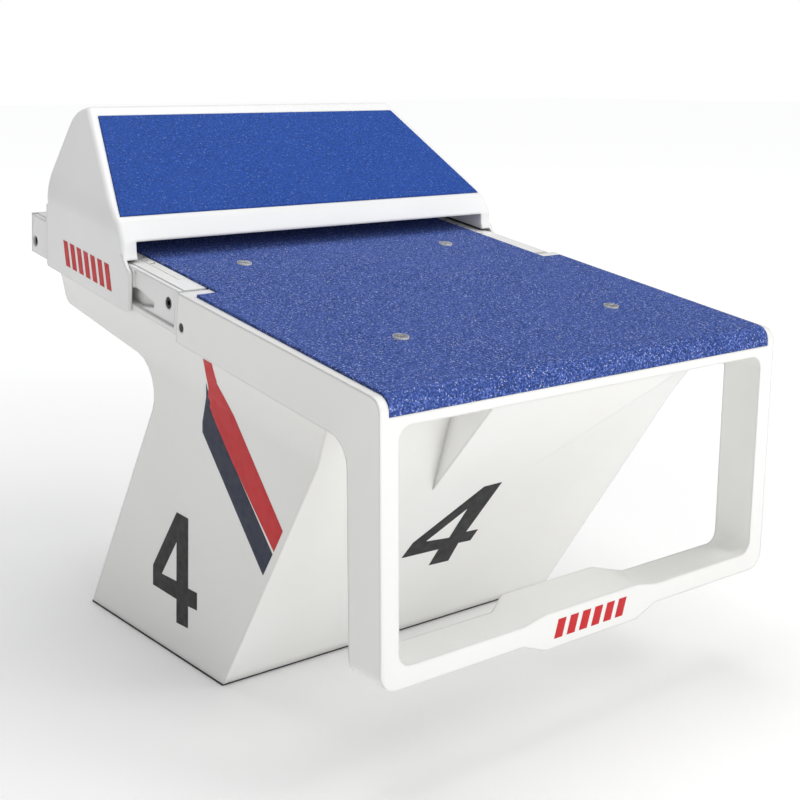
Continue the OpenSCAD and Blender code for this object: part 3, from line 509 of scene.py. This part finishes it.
def eased_copy(node, name, finish, radius, wanted, segments=6):
    """Moulds a copy of a part with broad rounded edges where wanted(edge) says so.

    Stub edges too short to round are closed up first, because a broad edge folds over on them.
    """
    corner_angle = math.radians(40)
    shortest = 1.2 * MM
    source = node_of(node)
    bm = bmesh.new()
    bm.from_mesh(source.data)
    bmesh.ops.remove_doubles(bm, verts=bm.verts, dist=SAME_POINT)
    bmesh.ops.dissolve_limit(bm, angle_limit=FLAT_ANGLE, verts=bm.verts, edges=bm.edges)
    bm.normal_update()

    def broad_edges():
        return [e for e in bm.edges if len(e.link_faces) == 2 and e.is_convex
                and e.calc_face_angle() > corner_angle and wanted(e)]

    stubs = [e for e in broad_edges() if e.calc_length() < shortest]
    bmesh.ops.collapse(bm, edges=stubs)
    bm.normal_update()
    bmesh.ops.bevel(bm, geom=broad_edges(), offset=radius, offset_type="OFFSET", segments=segments,
                    profile=0.5, affect="EDGES", clamp_overlap=False, miter_outer="PATCH")
    bmesh.ops.remove_doubles(bm, verts=bm.verts, dist=SAME_POINT)
    mesh = bpy.data.meshes.new(name)
    bm.to_mesh(mesh)
    bm.free()
    mesh.materials.append(finish_named(finish))
    clear_normals(mesh)
    mesh.set_sharp_from_angle(angle=math.radians(32))
    piece = bpy.data.objects.new(name, mesh)
    bpy.context.scene.collection.objects.link(piece)
    shading = piece.modifiers.new("Even shading", "WEIGHTED_NORMAL")
    shading.keep_sharp = True
    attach(piece, source["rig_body"])
    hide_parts(node)
    return piece


def height_over_deck(point):
    """How far a point stands over the sloping deck, in metres."""
    y, z = point.y + BASE_FRONT, point.z - DECK_HEIGHT
    return z * math.cos(DECK_TILT) - y * math.sin(DECK_TILT)


def cheek_edge(edge):
    """True for the outline edges of the kick plate's cheeks, above their feet.

    Such an edge lies far out to the side, between a face that looks outwards and one that doesn't.
    """
    foot_top = 4.5 * MM
    inner_limit = 0.2
    if min(height_over_deck(v.co) for v in edge.verts) < foot_top:
        return False
    middle = (edge.verts[0].co + edge.verts[1].co) / 2
    outward = sorted(f.normal.x * (1 if middle.x > 0 else -1) for f in edge.link_faces)
    return abs(middle.x) > inner_limit and outward[1] > 0.8 and abs(outward[0]) < 0.3


def smooth_path(points, steps=6):
    """Runs a smooth line through outline points, a corner point having a third entry."""
    result = []
    count = len(points)
    for i in range(count):
        a, b = points[i], points[(i + 1) % count]
        result.append(Vector(a[:2]))
        if len(a) > 2 and len(b) > 2:
            continue
        before = points[i - 1] if len(a) < 3 else a
        after = points[(i + 2) % count] if len(b) < 3 else b
        p0, p1, p2, p3 = (Vector(q[:2]) for q in (before, a, b, after))
        for k in range(1, steps):
            t = k / steps
            result.append(0.5 * (2 * p1 + (p2 - p0) * t + (2 * p0 - 5 * p1 + 4 * p2 - p3) * t * t
                                 + (3 * p1 - p0 - 3 * p2 + p3) * t ** 3))
    return result


def skin_of(node):
    """The surface of a part, for laying film on."""
    mesh = node_of(node).data
    return BVHTree.FromPolygons([v.co.copy() for v in mesh.vertices],
                                [list(p.vertices) for p in mesh.polygons])


def cut_sheet(loops):
    """A flat sheet cut to outlines, the first the edge and the others holes."""
    bm = bmesh.new()
    flat = [[Vector((p[0], p[1], 0)) for p in loop] for loop in loops]
    verts = [bm.verts.new(p) for loop in flat for p in loop]
    for tri in tessellate_polygon(flat):
        corners = [verts[i] for i in tri]
        if len(set(corners)) == 3:
            bm.faces.new(corners)
    bmesh.ops.dissolve_limit(bm, angle_limit=0.001, verts=bm.verts, edges=bm.edges,
                             use_dissolve_boundaries=False)
    return bm


def cut_number(text, height, u, v):
    """A flat sheet cut to a number of that height, centred on u and standing on v."""
    size_for_height = 1.37
    curve = bpy.data.curves.new("number", "FONT")
    curve.body = text
    curve.size = height * size_for_height
    curve.align_x = "CENTER"
    curve.resolution_u = 3
    holder = bpy.data.objects.new("number", curve)
    flat = holder.to_mesh()
    bm = bmesh.new()
    bm.from_mesh(flat)
    holder.to_mesh_clear()
    bpy.data.objects.remove(holder)
    bpy.data.curves.remove(curve)
    bmesh.ops.remove_doubles(bm, verts=bm.verts, dist=SAME_POINT / 2)
    bmesh.ops.translate(bm, verts=bm.verts, vec=(u, v, 0))
    return bm


def lay_film(name, sheet, to_space, ray, skin, finish, body):
    """Lays a cut sheet on the skin, following its curves.

    to_space turns a sheet point into a point in front of the skin, and ray is the way it is pressed.
    """
    step = 8 * MM
    glue = 0.03 * MM
    mesh = bpy.data.meshes.new(name)
    bm = sheet
    low = [min(v.co[i] for v in bm.verts) for i in (0, 1)]
    high = [max(v.co[i] for v in bm.verts) for i in (0, 1)]
    for axis in (0, 1):
        normal = Vector((1, 0, 0)) if axis == 0 else Vector((0, 1, 0))
        where = low[axis] + step
        while where < high[axis] - step * 0.3:
            bmesh.ops.bisect_plane(bm, geom=bm.verts[:] + bm.edges[:] + bm.faces[:],
                                   dist=1e-7, plane_co=normal * where, plane_no=normal)
            where += step
    for v in bm.verts:
        start = to_space(v.co.x, v.co.y)
        hit, _, _, _ = skin.ray_cast(start, ray)
        if hit is None:
            raise RuntimeError(f"{name} hangs over the edge of what it is stuck to")
        v.co = hit - ray * glue
    bmesh.ops.recalc_face_normals(bm, faces=bm.faces)
    bm.normal_update()
    facing = sum((f.normal * f.calc_area() for f in bm.faces), Vector())
    if facing.dot(ray) > 0:
        bmesh.ops.reverse_faces(bm, faces=bm.faces)
    bm.to_mesh(mesh)
    bm.free()
    piece = bpy.data.objects.new(name, mesh)
    bpy.context.scene.collection.objects.link(piece)
    mesh.shade_smooth()
    thick = piece.modifiers.new("Film thickness", "SOLIDIFY")
    thick.thickness = bpy.context.scene.start_block_sizes.film
    thick.offset = 1
    shading = piece.modifiers.new("Even shading", "WEIGHTED_NORMAL")
    shading.keep_sharp = True
    mesh.materials.append(finish_named(finish))
    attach(piece, body)
    return piece


def mm_loop(points):
    """Outline points given in millimetres, in metres."""
    return [(p[0] * MM, p[1] * MM) for p in points]


# --- markings --------------------------------------------------------------------------------
# Outlines are in millimetres: the side ones back from the base's front edge and up from the
# ground, the front one across from the middle and up. A third entry marks a sharp corner.

RED_STRIPE = [
    (-9.1, 385.2, "c"), (-27.1, 382.6, "c"), (-28, 363.9), (-39.3, 345), (-138.3, 223.4, "c"),
    (-119.8, 196, "c"), (-10.4, 317), (-6.2, 355.8),
]
NAVY_STRIPE = [
    (-2.5, 356.6, "c"), (-4.2, 334), (-12.9, 314.7), (-117.1, 192.4, "c"), (-96.7, 163.1, "c"),
    (15.9, 297.4, "c"), (14.7, 309.1, "c"),
]
SIDE_FOUR = [
    (84.7, 187.1), (58.4, 186.2), (67.7, 98.4), (47.3, 98.8), (49.6, 76.6), (70.2, 75.5),
    (73.3, 46.6), (100.7, 45.1), (97.2, 75.9), (154.4, 77.3), (151.1, 103.6),
]
SIDE_FOUR_EYE = [(88.9, 150), (94.6, 99.3), (130.4, 98.2)]
FRONT_FOUR = [
    (36.8, 224.1), (9.8, 223.6), (-59.8, 159.6), (-65.3, 138.4), (-8.8, 136.6), (-10, 112.1),
    (21.1, 110.6), (21, 138.2), (40.6, 137), (42.9, 153.3), (23.4, 154.3),
]
FRONT_FOUR_EYE = [(2.3, 194.3), (-39.1, 156.1), (-1.2, 151.8)]

# Numbered settings of the kick plate, in millimetres along the deck.
SETTINGS = 4
FIRST_SETTING = 132
SETTING_PITCH = 25.5
NUMBER_HEIGHT = 5.5 * MM
TICK_HALF_WIDTH = 0.45 * MM

# The rows of plain bars, in millimetres.
BAR_PITCH = 18
BAR_WIDTH = 11.5
BAR_LEAN = 0.3
SKIRT_BARS = 7
SKIRT_BAR_HEIGHT = 30
SKIRT_BARS_START = (171, -40)
GRIP_BARS = 6
GRIP_BAR_HEIGHT = 20
GRIP_BARS_START = (-56, 117)

# Film is pressed on from these places, clear of the block.
CLEAR_OF_SIDE = 0.6
CLEAR_OF_FRONT = -0.42
CLEAR_OF_GRIP = -0.62
CLEAR_OF_SKIRT = 400
CLEAR_OF_DECK = 20


def on_side(side):
    """Sheet space of a pedestal side: y back from the base's front edge, and height."""
    return lambda u, v: Vector((side * CLEAR_OF_SIDE, u - BASE_FRONT, v))


def leaning_bars(count, height):
    """Outlines of a row of equal bars that lean to one side."""
    lean = BAR_LEAN * height
    return [[(i * BAR_PITCH, 0), (i * BAR_PITCH + BAR_WIDTH, 0),
             (i * BAR_PITCH + BAR_WIDTH + lean, height), (i * BAR_PITCH + lean, height)]
            for i in range(count)]


# --- operators -------------------------------------------------------------------------------

class DressOperator:
    """Shared by the operators: undo support and the sizes from the sidebar."""

    bl_options = {"REGISTER", "UNDO"}

    @property
    def sizes(self):
        return bpy.context.scene.start_block_sizes


class STARTBLOCK_OT_pedestal(DressOperator, bpy.types.Operator):
    """Finish the glass-fibre pedestal moulding"""

    bl_idname = "start_block.pedestal"
    bl_label = "Pedestal"

    def execute(self, context):
        dress("pedestal_shell", "white_gelcoat", self.sizes.shell_edge, 4)
        return {"FINISHED"}


class STARTBLOCK_OT_foot(DressOperator, bpy.types.Operator):
    """Finish the ground plate, its seal and the anchor bolts"""

    bl_idname = "start_block.foot"
    bl_label = "Foot"

    def execute(self, context):
        dress("ground_plate", "galvanised_steel", self.sizes.metal_edge * 2)
        dress("foot_seal", "seal_rubber", self.sizes.metal_edge)
        dress("foot_bolts", "stainless", self.sizes.metal_edge, 2)
        return {"FINISHED"}


class STARTBLOCK_OT_inner_frame(DressOperator, bpy.types.Operator):
    """Finish the steel posts, head bars and crossmembers inside"""

    bl_idname = "start_block.inner_frame"
    bl_label = "Inner frame"

    def execute(self, context):
        for node in ("frame_posts", "head_bars", "deck_crossmembers"):
            dress(node, "galvanised_steel", self.sizes.metal_edge * 2)
        dress("frame_bolts", "stainless", self.sizes.metal_edge, 2)
        return {"FINISHED"}


class STARTBLOCK_OT_hatch(DressOperator, bpy.types.Operator):
    """Finish the service hatch in the back of the pedestal"""

    bl_idname = "start_block.hatch"
    bl_label = "Service hatch"

    def execute(self, context):
        dress("hatch_cover", "white_gelcoat", 1.4 * MM)
        dress("hatch_seal", "seal_rubber", self.sizes.metal_edge)
        dress("hatch_screws", "stainless", self.sizes.metal_edge, 2)
        return {"FINISHED"}


class STARTBLOCK_OT_platform(DressOperator, bpy.types.Operator):
    """Finish the platform moulding with its legs and hand grip"""

    bl_idname = "start_block.platform"
    bl_label = "Platform and grab frame"

    def execute(self, context):
        dress("platform_shell", "white_gelcoat", self.sizes.platform_edge, 4)
        dress("shoulder_screws", "black_oxide", self.sizes.metal_edge, 2)
        return {"FINISHED"}


class STARTBLOCK_OT_tread(DressOperator, bpy.types.Operator):
    """Finish the gritted tread board and its fixings"""

    bl_idname = "start_block.tread"
    bl_label = "Tread board"

    def execute(self, context):
        dress("tread_board", "blue_grip", self.sizes.board_edge)
        dress("tread_washers", "white_moulding", self.sizes.metal_edge, 2)
        dress("tread_screws", "stainless", self.sizes.metal_edge, 2)
        dress("tread_nuts", "stainless", self.sizes.metal_edge, 2)
        return {"FINISHED"}


class STARTBLOCK_OT_rails(DressOperator, bpy.types.Operator):
    """Finish the side rails, their end caps and screws"""

    bl_idname = "start_block.rails"
    bl_label = "Rails"

    def execute(self, context):
        for node in ("rail_left", "rail_right", "rail_end_caps"):
            dress(node, "white_moulding", 1.6 * MM)
        dress("rail_screws", "black_oxide", self.sizes.metal_edge, 2)
        dress("rail_nuts", "stainless", self.sizes.metal_edge, 2)
        return {"FINISHED"}


class STARTBLOCK_OT_kick_plate(DressOperator, bpy.types.Operator):
    """Finish the kick plate moulding, its foot pad, shoes and glides"""

    bl_idname = "start_block.kick_plate"
    bl_label = "Kick plate"

    def execute(self, context):
        eased_copy("kick_shell", "kick_moulding", "white_moulding", self.sizes.kick_edge, cheek_edge)
        dress("kick_pad", "blue_pad", 1.6 * MM)
        dress("slide_shoes", "dark_plastic", self.sizes.metal_edge * 2)
        dress("foot_glides", "dark_plastic", self.sizes.metal_edge * 2)
        return {"FINISHED"}


class STARTBLOCK_OT_clamp(DressOperator, bpy.types.Operator):
    """Finish the release bar, plungers, springs and brackets"""

    bl_idname = "start_block.clamp"
    bl_label = "Release clamp"

    def execute(self, context):
        edge = self.sizes.metal_edge
        dress("clamp_brackets", "stainless", edge)
        dress("bracket_screws", "stainless", edge, 2)
        dress("pivot_pins", "stainless", edge, 2)
        dress("release_bar", "alloy", edge * 2)
        for side in ("left", "right"):
            dress(f"clamp_plunger_{side}", "stainless", edge, 2)
            piece = node_of(f"clamp_spring_{side}")
            piece.data.materials.clear()
            piece.data.materials.append(finish_named("spring_steel"))
        return {"FINISHED"}


class STARTBLOCK_OT_stripes(DressOperator, bpy.types.Operator):
    """Lay the red and navy stripes on both sides of the pedestal"""

    bl_idname = "start_block.stripes"
    bl_label = "Side stripes"

    def execute(self, context):
        skin = skin_of("pedestal_shell")
        for side, word in ((-1, "left"), (1, "right")):
            ray = Vector((-side, 0, 0))
            for label, outline in (("red", RED_STRIPE), ("navy", NAVY_STRIPE)):
                path = smooth_path([(p[0] * MM, p[1] * MM, *p[2:]) for p in outline])
                lay_film(f"stripe_{label}_{word}", cut_sheet([path]), on_side(side), ray, skin,
                         f"{label}_film", "stand")
        return {"FINISHED"}


class STARTBLOCK_OT_lane_numbers(DressOperator, bpy.types.Operator):
    """Lay the lane number on the front and both sides"""

    bl_idname = "start_block.lane_numbers"
    bl_label = "Lane numbers"

    def execute(self, context):
        skin = skin_of("pedestal_shell")
        middle = sum(p[0] for p in (SIDE_FOUR[1], SIDE_FOUR[-2])) / 2
        for side, word in ((-1, "left"), (1, "right")):
            turn = (lambda p: p) if side < 0 else (lambda p: (2 * middle - p[0], p[1]))
            loops = [mm_loop(map(turn, SIDE_FOUR)), mm_loop(map(turn, SIDE_FOUR_EYE))]
            lay_film(f"lane_number_{word}", cut_sheet(loops), on_side(side), Vector((-side, 0, 0)), skin,
                     "numeral_film", "stand")
        lay_film("lane_number_front", cut_sheet([mm_loop(FRONT_FOUR), mm_loop(FRONT_FOUR_EYE)]),
                 lambda u, v: Vector((u, CLEAR_OF_FRONT, v)), Vector((0, 1, 0)), skin,
                 "numeral_film", "stand")
        return {"FINISHED"}


class STARTBLOCK_OT_red_bars(DressOperator, bpy.types.Operator):
    """Lay a row of plain red bars on the kick plate's skirts and on the hand grip"""

    bl_idname = "start_block.red_bars"
    bl_label = "Red bars"

    def execute(self, context):
        kick_skin = skin_of("kick_shell")
        back, low = SKIRT_BARS_START
        for side, word in ((-1, "left"), (1, "right")):
            for i, bar in enumerate(leaning_bars(SKIRT_BARS, SKIRT_BAR_HEIGHT)):
                lay_film(f"skirt_bar_{word}_{i + 1}", cut_sheet([mm_loop(bar)]),
                         lambda u, v, side=side: on_deck(side * CLEAR_OF_SKIRT, back + u / MM, low + v / MM),
                         Vector((-side, 0, 0)), kick_skin, "red_film", "kick_plate")
        grip_skin = skin_of("platform_shell")
        across, up = (start * MM for start in GRIP_BARS_START)
        for i, bar in enumerate(leaning_bars(GRIP_BARS, GRIP_BAR_HEIGHT)):
            lay_film(f"grip_bar_{i + 1}", cut_sheet([mm_loop(bar)]),
                     lambda u, v: Vector((u + across, CLEAR_OF_GRIP, v + up)),
                     Vector((0, 1, 0)), grip_skin, "red_film", "stand")
        return {"FINISHED"}


class STARTBLOCK_OT_position_scales(DressOperator, bpy.types.Operator):
    """Finish the setting strips on the rails and print their ticks and numbers"""

    bl_idname = "start_block.position_scales"
    bl_label = "Setting scales"

    def execute(self, context):
        dress("position_scales", "printed_strip", 0.15 * MM, 2)
        skin = skin_of("position_scales")
        down = on_deck(0, 0, 0) - on_deck(0, 0, 1)
        down.normalize()
        inner = min(abs(v.co.x) for v in node_of("position_scales").data.vertices)
        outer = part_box("position_scales")[1].x

        def above(u, v):
            return on_deck(u / MM, v / MM, CLEAR_OF_DECK)

        for side, word in ((-1, "left"), (1, "right")):
            edge = side * (outer - 0.8 * MM)
            for i in range(SETTINGS * 2 - 1):
                along = (FIRST_SETTING + i * SETTING_PITCH / 2) * MM
                reach = (outer - inner) * (0.55 if i % 2 == 0 else 0.3)
                near, far = along - TICK_HALF_WIDTH, along + TICK_HALF_WIDTH
                tip = edge - side * reach
                tick = [(edge, near), (tip, near), (tip, far), (edge, far)]
                lay_film(f"setting_tick_{word}_{i + 1}", cut_sheet([tick]), above, down, skin,
                         "numeral_film", "stand")
                if i % 2 == 0:
                    number = cut_number(str(i // 2 + 1), NUMBER_HEIGHT, side * (inner + 2.6 * MM),
                                        along + 2 * MM)
                    lay_film(f"setting_number_{word}_{i // 2 + 1}", number, above, down, skin,
                             "numeral_film", "stand")
        return {"FINISHED"}


class STARTBLOCK_OT_stage(DressOperator, bpy.types.Operator):
    """Set out the floor, the soft lights and the camera"""

    bl_idname = "start_block.stage"
    bl_label = "Studio"

    def execute(self, context):
        scene = context.scene
        mesh = bpy.data.meshes.new("studio_floor")
        bm = bmesh.new()
        bmesh.ops.create_grid(bm, x_segments=8, y_segments=8, size=FLOOR_REACH)
        bm.to_mesh(mesh)
        bm.free()
        floor = bpy.data.objects.new("studio_floor", mesh)
        floor.location.z = CAD_BOX[0][2]
        mesh.materials.append(glowing_floor((0.98, 0.98, 0.98)))
        scene.collection.objects.link(floor)

        world = bpy.data.worlds.new("studio_air")
        world.use_nodes = True
        tree = world.node_tree
        air = tree.nodes["Background"]
        air.inputs["Color"].default_value = (0.98, 0.985, 1.0, 1)
        air.inputs["Strength"].default_value = AIR_STRENGTH
        paper = tree.nodes.new("ShaderNodeBackground")
        paper.inputs["Color"].default_value = (1.0, 1.0, 1.0, 1)
        seen = tree.nodes.new("ShaderNodeLightPath")
        mix = tree.nodes.new("ShaderNodeMixShader")
        tree.links.new(seen.outputs["Is Camera Ray"], mix.inputs["Fac"])
        tree.links.new(air.outputs[0], mix.inputs[1])
        tree.links.new(paper.outputs[0], mix.inputs[2])
        tree.links.new(mix.outputs[0], tree.nodes["World Output"].inputs["Surface"])
        scene.world = world
        scene.view_settings.view_transform = "Standard"

        target = Vector(LAMP_TARGET)
        for name, place, size, power, colour in LAMPS:
            data = bpy.data.lights.new(name, "AREA")
            data.shape = "SQUARE"
            data.size = size
            data.energy = power
            data.color = colour
            lamp = bpy.data.objects.new(name, data)
            lamp.location = place
            lamp.rotation_euler = (Vector(place) - target).to_track_quat("Z", "Y").to_euler()
            scene.collection.objects.link(lamp)

        data = bpy.data.cameras.new("studio_camera")
        data.lens = CAMERA_LENS
        data.sensor_width = CAMERA_SENSOR
        camera = bpy.data.objects.new("studio_camera", data)
        camera.location = CAMERA_PLACE
        camera.rotation_euler = (math.radians(90 - CAMERA_DIP), 0, math.radians(CAMERA_TURN))
        scene.collection.objects.link(camera)
        scene.camera = camera
        return {"FINISHED"}


PIECES = (
    STARTBLOCK_OT_pedestal, STARTBLOCK_OT_foot, STARTBLOCK_OT_inner_frame, STARTBLOCK_OT_hatch,
    STARTBLOCK_OT_platform, STARTBLOCK_OT_tread, STARTBLOCK_OT_rails, STARTBLOCK_OT_kick_plate,
    STARTBLOCK_OT_clamp, STARTBLOCK_OT_position_scales, STARTBLOCK_OT_stripes,
    STARTBLOCK_OT_lane_numbers, STARTBLOCK_OT_red_bars, STARTBLOCK_OT_stage,
)


class STARTBLOCK_PT_panel(bpy.types.Panel):
    """Sizes, colours and the pieces in the order that they are made"""

    bl_idname = "STARTBLOCK_PT_panel"
    bl_label = "Starting block"
    bl_space_type = "VIEW_3D"
    bl_region_type = "UI"
    bl_category = "Starting block"

    def draw(self, context):
        for group in (context.scene.start_block_sizes, context.scene.start_block_colours):
            column = self.layout.column(align=True)
            for name in group.__annotations__:
                column.prop(group, name)
        for piece in PIECES:
            self.layout.operator(piece.bl_idname)


CLASSES = (BlockSizes, BlockColours, *PIECES, STARTBLOCK_PT_panel)


def register():
    for cls in CLASSES:
        bpy.utils.register_class(cls)
    bpy.types.Scene.start_block_sizes = bpy.props.PointerProperty(type=BlockSizes)
    bpy.types.Scene.start_block_colours = bpy.props.PointerProperty(type=BlockColours)


def unregister():
    del bpy.types.Scene.start_block_colours
    del bpy.types.Scene.start_block_sizes
    for cls in reversed(CLASSES):
        bpy.utils.unregister_class(cls)


def main():
    """Makes every piece in order."""
    register()
    for piece in PIECES:
        group, name = piece.bl_idname.split(".")
        getattr(getattr(bpy.ops, group), name)()


if __name__ == "__main__":
    main()
